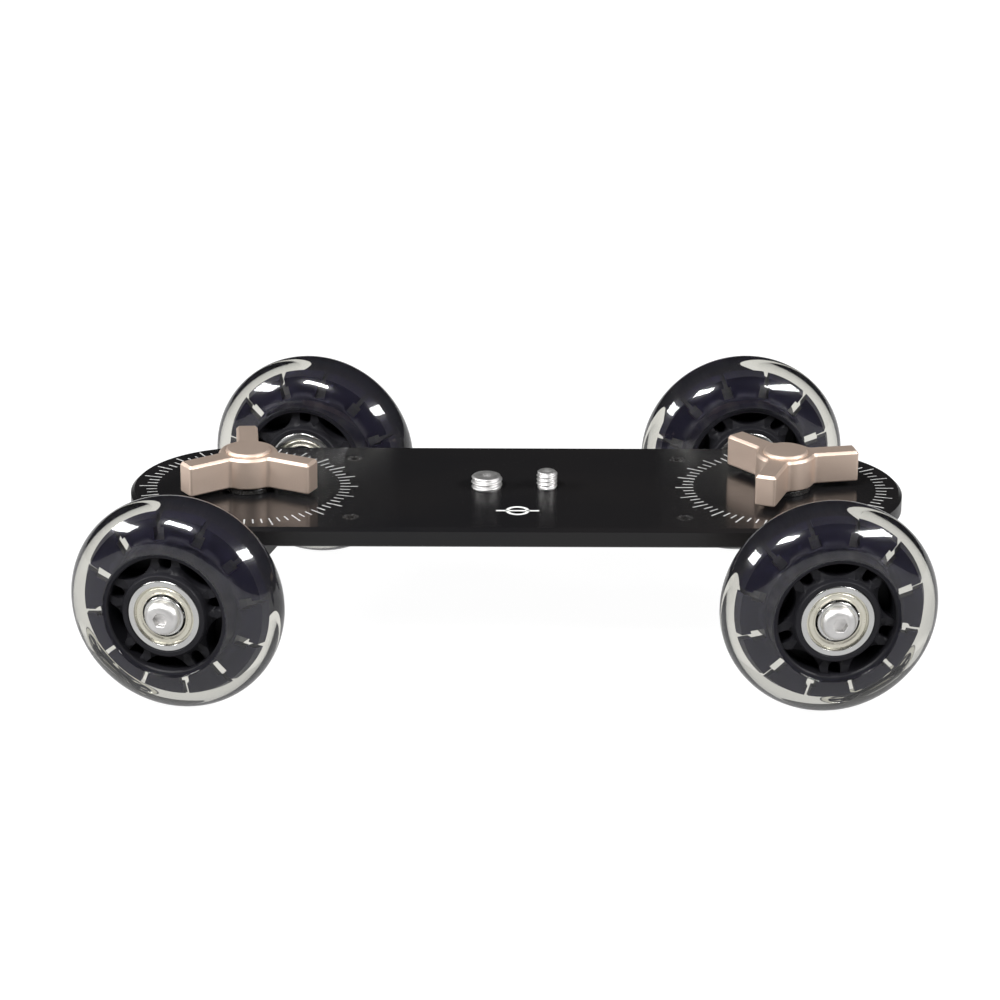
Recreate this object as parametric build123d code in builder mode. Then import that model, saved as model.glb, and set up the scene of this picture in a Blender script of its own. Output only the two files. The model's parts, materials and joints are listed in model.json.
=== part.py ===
from build123d import *
import os
from math import cos, radians, sin

os.makedirs("parts", exist_ok=True)

# A tabletop camera dolly: a stadium-shaped deck on two steerable axles with four skate wheels.
# Millimetres. X runs along the deck, Y across it, Z up; the origin is on the ground under its middle.

# ---- driving dimensions ----
plate_length = 236.0
plate_width = 70.0
plate_thickness = 6.0
pivot_spacing = 164.0
wheel_diameter = 65.0
wheel_width = 24.0
track = 129.0  # between the wheels' middle planes on one axle
steer_left = -16.3  # the axles as they stand at rest, degrees about +Z
steer_right = 7.9
knob_turn_left = -26.2  # where one arm of each knob points, degrees from +X
knob_turn_right = 10.2
running_gap = 0.05  # radial clearance of a turning fit

# ---- deck ----
plate_top_chamfer = 1.1
plate_bottom_chamfer = 0.5
stud_offset = 9.2  # each camera stud from the middle of the deck
stud_38_radius = 9.525 / 2
stud_38_height = 3.8
stud_14_radius = 6.35 / 2
stud_14_height = 5.3
stud_root_relief = 0.35  # the root in the plate is at the thread's minor radius
stud_neck = 0.4  # plain neck between the plate and the free thread
stud_lead = 0.6  # 45 degree lead at the thread's top
stud_foot = 0.4  # the root stops this far above the plate's underside
stud_socket_depth = 4.0
plug_offset_x = 31.7  # tapped accessory holes, from each pivot towards the middle
plug_offset_y = 25.0
screw_m3_radius = 1.5
screw_m3_head_radius = 2.75
screw_m3_recess = 0.3
screw_m3_play = 0.05
hex_m3 = 2.0
hex_m3_depth = 1.4

# ---- axle bars and clamps ----
bar_width = 20.0
bar_height = 12.0
bar_chamfer = 1.0
bar_length = 102.0
pad_radius = 12.0
pad_thickness = 0.5
bolt_radius = 4.0
bolt_head_flats = 13.0
bolt_head_height = 5.3
bolt_top = 53.5
bush_radius = 6.0
washer_radius = 8.0
washer_thickness = 1.6

# ---- knobs ----
knob_reach = 22.4
knob_arm_width = 6.6
knob_arm_corner = 0.9
knob_arm_root = 0.8
knob_top_chamfer = 0.6
knob_bottom_chamfer = 0.35
knob_height = 9.6
knob_hub_radius = 9.0
knob_boss_radius = 6.6
knob_boss_height = 0.5
knob_cap_radius = 6.9
knob_cap_height = 0.9
knob_cap_chamfer = 0.7
insert_radius = 6.0
insert_height = 8.0
insert_roof = 0.6

# ---- wheels ----
seat_radius = 11.0  # 608 bearing: 22 outside, 8 bore, 7 wide
bearing_width = 7.0
bearing_bore = 4.0
outer_ring_inside = 9.25
outer_ring_land = 9.05
ring_chamfer = 0.3
shield_seat = 0.9  # how deep the step for each shield is
inner_ring_outside = 6.05
ball_radius = 3.969 / 2
ball_pitch_radius = 7.5
ball_count = 7
ball_gap = 0.03
shield_thickness = 0.3
shield_inside = 6.6
collar_radius = 12.9
rim_inside = 17.6
rim_outside = 19.5
flange_radius = 25.4
flange_half = 1.6
flange_slots = 12
flange_slit_width = 1.3
flange_window_radius = 21.7  # the square window at the root of each slit
flange_window_side = 3.0
pocket_count = 5
web_half = 1.5
tyre_crown = 13.0  # how far the tread's round profile stands over the tyre's side
sleeve_radius = 4.0
sleeve_bore = 3.05
screw_m6_radius = 3.0
screw_m6_length = 45.0
screw_m6_head_radius = 5.25
screw_m6_head_height = 3.3
screw_m6_rim = 0.9  # straight edge of the head under its dome
screw_m6_tip = 0.6
hex_m6 = 4.0
hex_m6_depth = 2.1

# ---- worked out from those ----
wheel_radius = wheel_diameter / 2
half_wheel = wheel_width / 2
bar_bottom = wheel_radius - bar_height / 2
bar_top = wheel_radius + bar_height / 2
plate_bottom = bar_top + pad_thickness
plate_top = plate_bottom + plate_thickness
knob_bottom = plate_top + washer_thickness + knob_boss_height
spacer_length = wheel_width - 2 * bearing_width
end_washer_thickness = track / 2 - half_wheel - bar_length / 2
sides = {"left": -1, "right": 1}
steer = {"left": steer_left, "right": steer_right}
knob_turn = {"left": knob_turn_left, "right": knob_turn_right}
ends = {"front": -1, "back": 1}


# ---- helpers ----
def save(name, part):
    """Labels a finished piece and writes it as one STEP file."""
    part.label = name
    export_step(part, f"parts/{name}.step")


def pivot_plane(side, height=0.0):
    """Level plane on a pivot's axis, turned with its axle: local Y runs along the axle."""
    turn = radians(steer[side])
    origin = (sides[side] * pivot_spacing / 2, 0, height)
    return Plane(origin=origin, x_dir=(cos(turn), sin(turn), 0), z_dir=(0, 0, 1))


def wheel_plane(side, end):
    """Plane in a wheel's middle: local Z points outwards along the axle and local Y up."""
    axle = pivot_plane(side, wheel_radius)
    outwards = axle.y_dir * ends[end]
    centre = axle.origin + outwards * (track / 2)
    return Plane(origin=centre, x_dir=axle.x_dir * -ends[end], z_dir=outwards)


def turned(plane, *outlines):
    """Solids of revolution about a plane's normal, each from (radius, height) points."""
    section = Plane(origin=plane.origin, x_dir=plane.x_dir, z_dir=-plane.y_dir)
    with BuildPart() as body:
        for outline in outlines:
            with BuildSketch(section):
                with BuildLine():
                    Polyline(*outline, close=True)
                make_face()
            revolve(axis=Axis(plane.origin, plane.z_dir))
    return body.part


def tube(inner, outer, low, high):
    """Outline of a plain ring for turned()."""
    return ((inner, low), (outer, low), (outer, high), (inner, high))


def ring_outline(inner, outer, low, high, chamfer):
    """Outline of a ring with both outer edges chamfered."""
    return (
        (inner, low),
        (outer - chamfer, low),
        (outer, low + chamfer),
        (outer, high - chamfer),
        (outer - chamfer, high),
        (inner, high),
    )


# ---- deck: the plate, its bushes, camera studs and plug screws ----
def pivot_points():
    """The two pivot axes, on the deck's long centre line."""
    return [(side * pivot_spacing / 2, 0) for side in sides.values()]


def plug_points():
    """The four tapped accessory holes, inboard of the pivots."""
    x = pivot_spacing / 2 - plug_offset_x
    return [(sx * x, sy * plug_offset_y) for sx in (-1, 1) for sy in (-1, 1)]


def base_plate():
    """Stadium plate with bores for the bushes and studs and countersunk accessory holes."""
    with BuildPart() as plate:
        with BuildSketch(Plane.XY.offset(plate_bottom)):
            SlotOverall(plate_length, plate_width)
        extrude(amount=plate_thickness)
        chamfer(plate.edges().group_by(Axis.Z)[-1], plate_top_chamfer)
        chamfer(plate.edges().group_by(Axis.Z)[0], plate_bottom_chamfer)
        with BuildSketch(Plane.XY.offset(plate_bottom)):
            with Locations(*pivot_points()):
                Circle(bush_radius)
            with Locations((-stud_offset, 0)):
                Circle(stud_38_radius - stud_root_relief)
            with Locations((stud_offset, 0)):
                Circle(stud_14_radius - stud_root_relief)
        extrude(amount=plate_thickness, mode=Mode.SUBTRACT)
        with Locations(Plane.XY.offset(plate_top - screw_m3_recess)):
            with Locations(*plug_points()):
                CounterSinkHole(screw_m3_radius, screw_m3_head_radius, counter_sink_angle=90)
        with BuildSketch(Plane.XY.offset(plate_top - screw_m3_recess)):
            with Locations(*plug_points()):
                Circle(screw_m3_head_radius)
        extrude(amount=screw_m3_recess, mode=Mode.SUBTRACT)
    return plate.part


def pivot_bushes():
    """Plain bronze bushes pressed into the plate, one on each pivot."""
    with BuildPart() as bushes:
        with BuildSketch(Plane.XY.offset(plate_bottom)):
            with Locations(*pivot_points()):
                Circle(bush_radius)
                Circle(bolt_radius + running_gap, mode=Mode.SUBTRACT)
        extrude(amount=plate_thickness)
    return bushes.part


def camera_stud(x, radius, height, socket_flats, cup_radius):
    """Headless stud: a threaded root in the plate, a free thread above it, a hex socket below, a cup on top."""
    root = radius - stud_root_relief
    top = plate_top + height
    thread_start = plate_top + stud_neck
    foot = plate_bottom + stud_foot
    outline = (
        (0, foot),
        (root - stud_foot, foot),
        (root, foot + stud_foot),
        (root, thread_start),
        (radius, thread_start),
        (radius, top - stud_lead),
        (radius - stud_lead, top),
        (cup_radius, top),
        (0, top - cup_radius * 0.6),
    )
    stud = turned(Plane(origin=(x, 0, 0), x_dir=(1, 0, 0), z_dir=(0, 0, 1)), outline)
    with BuildPart() as finished:
        add(stud)
        with BuildSketch(Plane.XY.offset(plate_bottom)):
            with Locations((x, 0)):
                RegularPolygon(socket_flats / 2, 6, major_radius=False)
        extrude(amount=stud_socket_depth, mode=Mode.SUBTRACT)
    return finished.part


def plug_screws():
    """Countersunk hex socket screws that close the accessory holes."""
    head_top = plate_top - screw_m3_recess
    cone = screw_m3_head_radius - screw_m3_radius
    tip = plate_bottom + 0.3
    shank_radius = screw_m3_radius - screw_m3_play
    face = head_top - screw_m3_play
    shank = turned(
        Plane.XY,
        (
            (0, tip),
            (shank_radius - 0.3, tip),
            (shank_radius, tip + 0.3),
            (shank_radius, face - cone),
            (screw_m3_head_radius - screw_m3_play, face),
            (0, face),
        ),
    )
    with BuildPart() as screws:
        with Locations(*plug_points()):
            add(shank)
        with BuildSketch(Plane.XY.offset(head_top)):
            with Locations(*plug_points()):
                RegularPolygon(hex_m3 / 2, 6, major_radius=False)
        extrude(amount=-hex_m3_depth, mode=Mode.SUBTRACT)
    return screws.part


# ---- axles: bar, clamp bolt and friction pad ----
def axle_bar(side):
    """Square bar across the deck, tapped at both ends, with the clamp bolt's hex pocket below."""
    plane = pivot_plane(side, bar_bottom)
    pocket = bolt_head_height + 0.2
    tapped_depth = 21.0
    with BuildPart() as bar:
        with BuildSketch(plane):
            Rectangle(bar_width, bar_length)
        extrude(amount=bar_height)
        chamfer(bar.edges(), bar_chamfer)
        with BuildSketch(plane):
            Circle(bolt_radius + running_gap)
        extrude(amount=bar_height, mode=Mode.SUBTRACT)
        with BuildSketch(plane):
            RegularPolygon(bolt_head_flats / 2 + 0.1, 6, major_radius=False)
        extrude(amount=pocket, mode=Mode.SUBTRACT)
        for end in ends:
            face = wheel_plane(side, end).offset(bar_length / 2 - track / 2)
            with BuildSketch(face):
                Circle(screw_m6_radius)
            extrude(amount=-tapped_depth, mode=Mode.SUBTRACT)
    return bar.part


def clamp_bolt(side):
    """Hexagon bolt held in the bar's pocket, running up through the deck into the knob."""
    head_bottom = bar_bottom + 0.2
    head_top = head_bottom + bolt_head_height
    with BuildPart() as bolt:
        with BuildSketch(pivot_plane(side, head_bottom)):
            RegularPolygon(bolt_head_flats / 2, 6, major_radius=False)
        extrude(amount=bolt_head_height)
        chamfer(bolt.edges().group_by(Axis.Z)[0], 0.5)
        with BuildSketch(pivot_plane(side, head_top)):
            Circle(bolt_radius)
        extrude(amount=bolt_top - head_top)
        chamfer(bolt.edges().group_by(Axis.Z)[-1], 0.8)
    return bolt.part


def friction_pad(side):
    """Thin nylon ring between the bar and the underside of the plate."""
    outline = tube(bolt_radius + 0.3, pad_radius, bar_top, bar_top + pad_thickness)
    return turned(pivot_plane(side), outline)


# ---- knobs ----
def knob_plane(side, height):
    """Level plane on a pivot with local X along one arm of its knob."""
    turn = radians(knob_turn[side])
    origin = (sides[side] * pivot_spacing / 2, 0, height)
    return Plane(origin=origin, x_dir=(cos(turn), sin(turn), 0), z_dir=(0, 0, 1))


def knob_washer(side):
    """Flat washer that stays under the knob."""
    top = plate_top + washer_thickness
    outline = ring_outline(bolt_radius + 0.3, washer_radius, plate_top, top, 0.25)
    return turned(pivot_plane(side), outline)


def clamp_knob(side):
    """Three square arms on a round hub, with a raised cap and a blind hole for the insert."""
    with BuildPart() as knob:
        with BuildSketch(knob_plane(side, knob_bottom)) as outline:
            Circle(knob_hub_radius)
            with PolarLocations(knob_reach / 2, 3):
                Rectangle(knob_reach, knob_arm_width)
            corners = outline.vertices().sort_by(lambda v: -(v.X**2 + v.Y**2))
            fillet(corners[:6], knob_arm_corner)
            roots = [v for v in outline.vertices() if v.X**2 + v.Y**2 < (knob_hub_radius + 0.5) ** 2]
            fillet(roots, knob_arm_root)
        extrude(amount=knob_height)
        chamfer(knob.edges().group_by(Axis.Z)[-1], knob_top_chamfer)
        chamfer(knob.edges().group_by(Axis.Z)[0], knob_bottom_chamfer)
        with BuildSketch(knob_plane(side, knob_bottom + knob_height)):
            Circle(knob_cap_radius)
        extrude(amount=knob_cap_height)
        chamfer(knob.edges().group_by(Axis.Z)[-1], knob_cap_chamfer)
        with BuildSketch(knob_plane(side, knob_bottom)):
            Circle(knob_boss_radius)
        extrude(amount=-knob_boss_height)
        with BuildSketch(knob_plane(side, knob_bottom - knob_boss_height)):
            Circle(insert_radius)
        extrude(amount=insert_height, mode=Mode.SUBTRACT)
    return knob.part


def knob_insert(side):
    """Threaded steel insert pressed into the knob, closed at its top end."""
    low = knob_bottom - knob_boss_height
    bore = bolt_radius + running_gap
    roof = low + insert_height - insert_roof
    outline = (
        (bore, low),
        (insert_radius, low),
        (insert_radius, low + insert_height),
        (0, low + insert_height),
        (0, roof),
        (bore, roof),
    )
    return turned(pivot_plane(side), outline)


# ---- wheels ----
def raceway(radius, sign):
    """Groove for the balls in a ring's wall, as (radius, height) points from low to high."""
    groove = ball_radius + ball_gap
    steps = 8
    half_angle = 48.0
    angles = [-half_angle + 2 * half_angle * i / steps for i in range(steps + 1)]
    points = [
        (ball_pitch_radius + sign * groove * cos(radians(a)), groove * sin(radians(a)))
        for a in angles
    ]
    return [(radius, points[0][1])] + points + [(radius, points[-1][1])]


def shifted(points, height):
    """The same outline moved along the axle."""
    return [(r, h + height) for r, h in points]


def bearing_heights():
    """Middle of each of a wheel's two bearings, measured from the wheel's middle plane."""
    middle = half_wheel - bearing_width / 2
    return (-middle, middle)


def outer_rings(plane):
    """Outer races of both bearings, grooved for the balls."""
    half = bearing_width / 2
    shoulder = half - ring_chamfer
    rim = seat_radius - ring_chamfer
    step = half - shield_seat
    outline = (
        [(outer_ring_inside, -half), (rim, -half), (seat_radius, -shoulder)]
        + [(seat_radius, shoulder), (rim, half), (outer_ring_inside, half)]
        + [(outer_ring_inside, step), (outer_ring_land, step)]
        + raceway(outer_ring_land, 1)[::-1]
        + [(outer_ring_land, -step), (outer_ring_inside, -step)]
    )
    return turned(plane, *(shifted(outline, h) for h in bearing_heights()))


def inner_rings(planes):
    """Inner races of an axle's four bearings."""
    half = bearing_width / 2
    shoulder = half - ring_chamfer
    outline = (
        [(bearing_bore, -shoulder), (bearing_bore, shoulder), (bearing_bore + ring_chamfer, half)]
        + [(inner_ring_outside, half)]
        + raceway(inner_ring_outside, -1)[::-1]
        + [(inner_ring_outside, -half), (bearing_bore + ring_chamfer, -half)]
    )
    with BuildPart() as rings:
        for plane in planes:
            section = Plane(origin=plane.origin, x_dir=plane.x_dir, z_dir=-plane.y_dir)
            for height in bearing_heights():
                with BuildSketch(section):
                    with BuildLine():
                        Polyline(*shifted(outline, height), close=True)
                    make_face()
                revolve(axis=Axis(plane.origin, plane.z_dir))
    return rings.part


def bearing_balls(plane):
    """Seven balls in each of a wheel's two bearings."""
    with BuildPart() as balls:
        for height in bearing_heights():
            with Locations(plane.offset(height)):
                with PolarLocations(ball_pitch_radius, ball_count):
                    Sphere(ball_radius)
    return balls.part


def bearing_cages(plane):
    """Crown cages: a ring beside the balls with fingers between them, one in each bearing."""
    back = -2.35
    fingers = 0.9
    with BuildPart() as cages:
        for height in bearing_heights():
            with BuildSketch(plane.offset(height + back)):
                Circle(ball_pitch_radius + 1.1)
                Circle(ball_pitch_radius - 1.0, mode=Mode.SUBTRACT)
            extrude(amount=fingers - back)
            with Locations(plane.offset(height)):
                with PolarLocations(ball_pitch_radius, ball_count):
                    Sphere(ball_radius + 0.06, mode=Mode.SUBTRACT)
    return cages.part


def bearing_shields(plane):
    """Thin dished shields, two in each bearing, seated in the outer ring."""
    dish = 0.25
    outlines = []
    for height in bearing_heights():
        for side in (-1, 1):
            face = height + side * (bearing_width / 2 - 0.35)
            inner = face - side * dish
            back = -side * shield_thickness
            outlines.append(
                (
                    (shield_inside, inner),
                    (shield_inside + 1.1, face),
                    (outer_ring_inside, face),
                    (outer_ring_inside, face + back),
                    (shield_inside + 1.1, face + back),
                    (shield_inside, inner + back),
                )
            )
    return turned(plane, *outlines)


def core_blank(plane):
    """The nylon core before its pockets: hub with bearing seats, web, rim and anchor flange."""
    shoulder = spacer_length / 2
    shoulder_bore = 9.6
    face = 9.6
    rim_face = 10.9
    half = [
        (shoulder_bore, shoulder),
        (seat_radius, shoulder),
        (seat_radius, half_wheel - 0.15),
        (seat_radius + 0.25, half_wheel + 0.1),
        (collar_radius - 0.5, half_wheel + 0.1),
        (collar_radius, half_wheel - 0.4),
        (collar_radius, face),
        (rim_inside, face),
        (rim_inside, rim_face),
        (rim_inside + 0.4, rim_face + 0.4),
        (rim_outside, rim_face + 0.4),
        (rim_outside, flange_half + 0.5),
        (flange_radius, flange_half),
    ]
    mirrored = [(r, -h) for r, h in reversed(half)]
    return turned(plane, half + mirrored)


def wheel_core(plane, start_angle):
    """Nylon core with five wide and five narrow blind pockets each side and a slit flange."""
    blank = core_blank(plane)
    lens_radius = 8.8
    lens_centre = 22.0
    slot_width = 3.7
    slot_inner = 13.6
    slot_length = 8.0
    pocket_depth = half_wheel - web_half
    slit_length = 8.0
    slit_depth = 8.0
    with BuildPart() as core:
        add(blank)
        for side in (-1, 1):
            with BuildSketch(plane.offset(side * web_half)):
                with PolarLocations(lens_centre, pocket_count, start_angle):
                    Circle(lens_radius)
                with PolarLocations(slot_inner + slot_length / 2, pocket_count, start_angle + 36):
                    SlotOverall(slot_length, slot_width)
                Circle(rim_inside, mode=Mode.INTERSECT)
            extrude(amount=side * pocket_depth, mode=Mode.SUBTRACT)
        with BuildSketch(plane.offset(-slit_depth / 2)):
            with PolarLocations(flange_window_radius, flange_slots, start_angle + 15):
                Rectangle(flange_window_side, flange_window_side)
            with PolarLocations(flange_window_radius + slit_length / 2, flange_slots, start_angle + 15):
                Rectangle(slit_length, flange_slit_width)
        extrude(amount=slit_depth, mode=Mode.SUBTRACT)
    return core.part


def wheel_tyre(plane, core):
    """Cast urethane tyre with an elliptical tread, filled in around the core's rim and flange."""
    section = Plane(origin=plane.origin, x_dir=plane.x_dir, z_dir=-plane.y_dir)
    side_radius = wheel_radius - tyre_crown
    bore = side_radius - 0.6
    with BuildPart() as tyre:
        with BuildSketch(section):
            with BuildLine():
                Line((bore, -half_wheel), (bore, half_wheel))
                Line((bore, half_wheel), (side_radius, half_wheel))
                EllipticalCenterArc(
                    (side_radius, 0), tyre_crown, half_wheel, start_angle=-90, arc_size=180
                )
                Line((side_radius, -half_wheel), (bore, -half_wheel))
            make_face()
        revolve(axis=Axis(plane.origin, plane.z_dir))
        add(core, mode=Mode.SUBTRACT)
    solids = tyre.part.solids().sort_by(lambda s: s.volume)
    return Part(solids[-1].wrapped)


def bearing_spacers(planes):
    """Tubes between the inner rings of each wheel's bearings."""
    outlines = tube(sleeve_radius + 0.05, 5.4, -spacer_length / 2, spacer_length / 2)
    return gathered([turned(plane, outlines) for plane in planes])


def end_washers(planes):
    """Washers between the bar's ends and the inner bearings."""
    outline = ring_outline(
        screw_m6_radius + 0.2, 6.0, -half_wheel - end_washer_thickness, -half_wheel, 0.2
    )
    return gathered([turned(plane, outline) for plane in planes])


def axle_sleeves(planes):
    """Eight millimetre sleeves that carry the inner rings on the axle screws."""
    outline = tube(sleeve_bore, sleeve_radius, -half_wheel, half_wheel - 0.3)
    return gathered([turned(plane, outline) for plane in planes])


def axle_screw(plane):
    """M6 button-head hex socket screw, headed on the outer bearing's inner ring."""
    tip = half_wheel - screw_m6_length
    rim = half_wheel + screw_m6_rim
    top = half_wheel + screw_m6_head_height
    domed = top - rim
    head = screw_m6_head_radius
    shank = turned(
        plane,
        (
            (0, tip),
            (screw_m6_radius - screw_m6_tip, tip),
            (screw_m6_radius, tip + screw_m6_tip),
            (screw_m6_radius, half_wheel),
            (head - 0.3, half_wheel),
            (head, half_wheel + 0.3),
            (head, rim),
            (head - 0.45, rim + domed * 0.45),
            (head - 1.3, rim + domed * 0.8),
            (head - 2.6, top),
            (0, top),
        ),
    )
    with BuildPart() as screw:
        add(shank)
        with BuildSketch(plane.offset(top)):
            RegularPolygon(hex_m6 / 2, 6, major_radius=False)
        extrude(amount=-hex_m6_depth, mode=Mode.SUBTRACT)
    return screw.part


def gathered(parts):
    """Identical pieces as separate solids of one node."""
    with BuildPart() as group:
        for part in parts:
            add(part)
    return group.part


# ---- the model ----
save("base_plate", base_plate())
save("pivot_bushes", pivot_bushes())
save("camera_stud_38", camera_stud(-stud_offset, stud_38_radius, stud_38_height, 4.76, 1.6))
save("camera_stud_14", camera_stud(stud_offset, stud_14_radius, stud_14_height, 3.18, 1.5))
save("plug_screws", plug_screws())

core_start = {"left": 54.0, "right": 90.0}
for side in sides:
    save(f"axle_bar_{side}", axle_bar(side))
    save(f"clamp_bolt_{side}", clamp_bolt(side))
    save(f"friction_pad_{side}", friction_pad(side))
    save(f"knob_washer_{side}", knob_washer(side))
    save(f"clamp_knob_{side}", clamp_knob(side))
    save(f"knob_insert_{side}", knob_insert(side))

    wheels = [wheel_plane(side, end) for end in ends]
    save(f"inner_rings_{side}", inner_rings(wheels))
    save(f"bearing_spacers_{side}", bearing_spacers(wheels))
    save(f"end_washers_{side}", end_washers(wheels))
    save(f"axle_sleeves_{side}", axle_sleeves(wheels))
    save(f"axle_screws_{side}", gathered([axle_screw(plane) for plane in wheels]))

    for end, plane in zip(ends, wheels):
        core = wheel_core(plane, core_start[side])
        save(f"core_{end}_{side}", core)
        save(f"tyre_{end}_{side}", wheel_tyre(plane, core))
        save(f"outer_rings_{end}_{side}", outer_rings(plane))
        save(f"balls_{end}_{side}", bearing_balls(plane))
        save(f"cages_{end}_{side}", bearing_cages(plane))
        save(f"shields_{end}_{side}", bearing_shields(plane))
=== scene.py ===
import json
import math

import bmesh
import bpy
import numpy as np
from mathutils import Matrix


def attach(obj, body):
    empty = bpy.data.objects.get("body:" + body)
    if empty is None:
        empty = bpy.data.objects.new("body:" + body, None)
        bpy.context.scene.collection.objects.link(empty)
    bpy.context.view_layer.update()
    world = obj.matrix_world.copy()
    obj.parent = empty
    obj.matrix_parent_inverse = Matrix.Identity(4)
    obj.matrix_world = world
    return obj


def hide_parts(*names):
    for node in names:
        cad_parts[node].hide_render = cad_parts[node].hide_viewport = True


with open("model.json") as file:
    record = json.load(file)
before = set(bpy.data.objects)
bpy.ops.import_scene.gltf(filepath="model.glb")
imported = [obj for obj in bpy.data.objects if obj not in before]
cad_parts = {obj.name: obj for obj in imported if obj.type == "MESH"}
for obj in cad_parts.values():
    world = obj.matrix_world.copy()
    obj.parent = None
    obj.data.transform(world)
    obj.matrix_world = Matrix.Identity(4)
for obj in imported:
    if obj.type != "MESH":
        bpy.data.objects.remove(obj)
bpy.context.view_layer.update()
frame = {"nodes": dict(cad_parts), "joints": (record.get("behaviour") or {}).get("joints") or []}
mm = 0.001
scene = bpy.context.scene
jointOf = {joint["name"]: joint for joint in frame["joints"]}


cameraSettings = {"target": (-0.0051, 0.0, 0.0407), "distance": 1.2703, "elevation": 21.16, "swing": -0.67,
                  "roll": 0.443, "lens": 149.15, "sensor": 36.0, "farClip": 60.0}


def makeCamera(look):
    # place = target + distance (sin s cos e, -cos s cos e, sin e)
    # roll turns right and up about the view line
    swing, rise, roll = (math.radians(look[k]) for k in ("swing", "elevation", "roll"))
    target = np.array(look["target"])
    back = np.array([math.sin(swing) * math.cos(rise), -math.cos(swing) * math.cos(rise), math.sin(rise)])
    right = np.cross([0.0, 0.0, 1.0], back)
    right /= np.linalg.norm(right)
    up = np.cross(back, right)
    axes = np.eye(4)
    axes[:3, 0] = right * math.cos(roll) + up * math.sin(roll)
    axes[:3, 1] = up * math.cos(roll) - right * math.sin(roll)
    axes[:3, 2] = back
    axes[:3, 3] = target + back * look["distance"]
    data = bpy.data.cameras.new("studioCamera")
    data.lens, data.sensor_width, data.clip_end = look["lens"], look["sensor"], look["farClip"]
    camera = bpy.data.objects.new("studioCamera", data)
    camera.matrix_world = axes.T.tolist()
    scene.collection.objects.link(camera)
    scene.camera = camera


# softboxes: azimuth from the front towards +X, elevation, distance, width, height, watts
softboxes = {
    "keyBox": (-34.0, 52.0, 1.5, 0.52, 0.22, 19.0),
    "rightBox": (64.0, 38.0, 1.5, 0.95, 0.26, 20.0),
    "leftBox": (-82.0, 31.0, 1.5, 0.80, 0.26, 15.0),
}
# the sweep and the table each have three levels: straight to the camera, through urethane, and as light
studio = {"backdrop": 1.0, "through": 0.68, "sky": 0.018, "zenith": 0.05, "zenithStart": 0.5,
          "tableShade": 0.14, "tableRoughness": 0.7, "tableSeen": 0.98, "tableShine": 0.46, "tableSize": 9.0}


def makeSoftbox(name, azimuth, elevation, distance, width, height, watts):
    # a flat lamp on a sphere about the dolly, facing its middle
    a, e = math.radians(azimuth), math.radians(elevation)
    out = np.array([math.sin(a) * math.cos(e), -math.cos(a) * math.cos(e), math.sin(e)])
    across = np.cross([0.0, 0.0, 1.0], out)
    across /= np.linalg.norm(across)
    axes = np.eye(4)
    axes[:3, 0], axes[:3, 1], axes[:3, 2] = across, np.cross(out, across), out
    axes[:3, 3] = out * distance
    data = bpy.data.lights.new(name, "AREA")
    data.shape, data.size, data.size_y, data.energy = "RECTANGLE", width, height, watts
    lamp = bpy.data.objects.new(name, data)
    lamp.matrix_world = axes.T.tolist()
    scene.collection.objects.link(lamp)


def byRay(nodes, links, ray, other, level):
    # level for one kind of ray, other for the rest; either may be a number or a socket
    path = nodes.new("ShaderNodeLightPath")
    mix = nodes.new("ShaderNodeMix")
    links.new(path.outputs[ray], mix.inputs[0])
    for socket, value in ((mix.inputs[2], other), (mix.inputs[3], level)):
        if isinstance(value, float):
            socket.default_value = value
        else:
            links.new(value, socket)
    return mix.outputs[0]


def makeStudio(look):
    # a white sweep behind, dim above the horizon and a little brighter overhead, over a pale glowing table
    world = bpy.data.worlds.new("sweep")
    scene.world = world
    world.use_nodes = True
    nodes, links = world.node_tree.nodes, world.node_tree.links
    direction = nodes.new("ShaderNodeTexCoord")
    parts = nodes.new("ShaderNodeSeparateXYZ")
    rise = nodes.new("ShaderNodeMapRange")
    rise.interpolation_type = "SMOOTHSTEP"
    for socket, key in (("From Min", "zenithStart"), ("To Min", "sky"), ("To Max", "zenith")):
        rise.inputs[socket].default_value = look[key]
    links.new(direction.outputs["Generated"], parts.inputs[0])
    links.new(parts.outputs["Z"], rise.inputs["Value"])
    clear = byRay(nodes, links, "Is Transmission Ray", rise.outputs["Result"], look["through"])
    background = nodes["Background"]
    background.inputs["Color"].default_value = (1, 1, 1, 1)
    links.new(byRay(nodes, links, "Is Camera Ray", clear, look["backdrop"]), background.inputs["Strength"])

    half = look["tableSize"] / 2
    data = bpy.data.meshes.new("table")
    corners = [(-half, -half, 0), (half, -half, 0), (half, half, 0), (-half, half, 0)]
    data.from_pydata(corners, [], [(0, 1, 2, 3)])
    material = bpy.data.materials.new("paleTable")
    material.use_nodes = True
    nodes, links = material.node_tree.nodes, material.node_tree.links
    shader = nodes["Principled BSDF"]
    shader.inputs["Base Color"].default_value = (look["tableShade"],) * 3 + (1,)
    shader.inputs["Roughness"].default_value = look["tableRoughness"]
    shader.inputs["Specular IOR Level"].default_value = 0.0
    shader.inputs["Emission Color"].default_value = (1, 1, 1, 1)
    clear = byRay(nodes, links, "Is Transmission Ray", look["tableShine"], look["through"])
    glow = byRay(nodes, links, "Is Camera Ray", clear, look["tableSeen"])
    links.new(glow, shader.inputs["Emission Strength"])
    data.materials.append(material)
    table = bpy.data.objects.new("table", data)
    scene.collection.objects.link(table)


makeCamera(cameraSettings)
makeStudio(studio)
for boxName, facts in softboxes.items():
    makeSoftbox(boxName, *facts)
scene.view_settings.view_transform = "Standard"
print("studio ready")


# what a finish has where it says nothing else
plainFinish = {"grainOn": "Object", "cloudDetail": 3.0, "grainDetail": 2.0, "metal": 0.0, "specular": 0.5,
               "ior": 1.5, "clear": 0.0, "coat": 0.0, "coatRoughness": 0.1}


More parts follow.
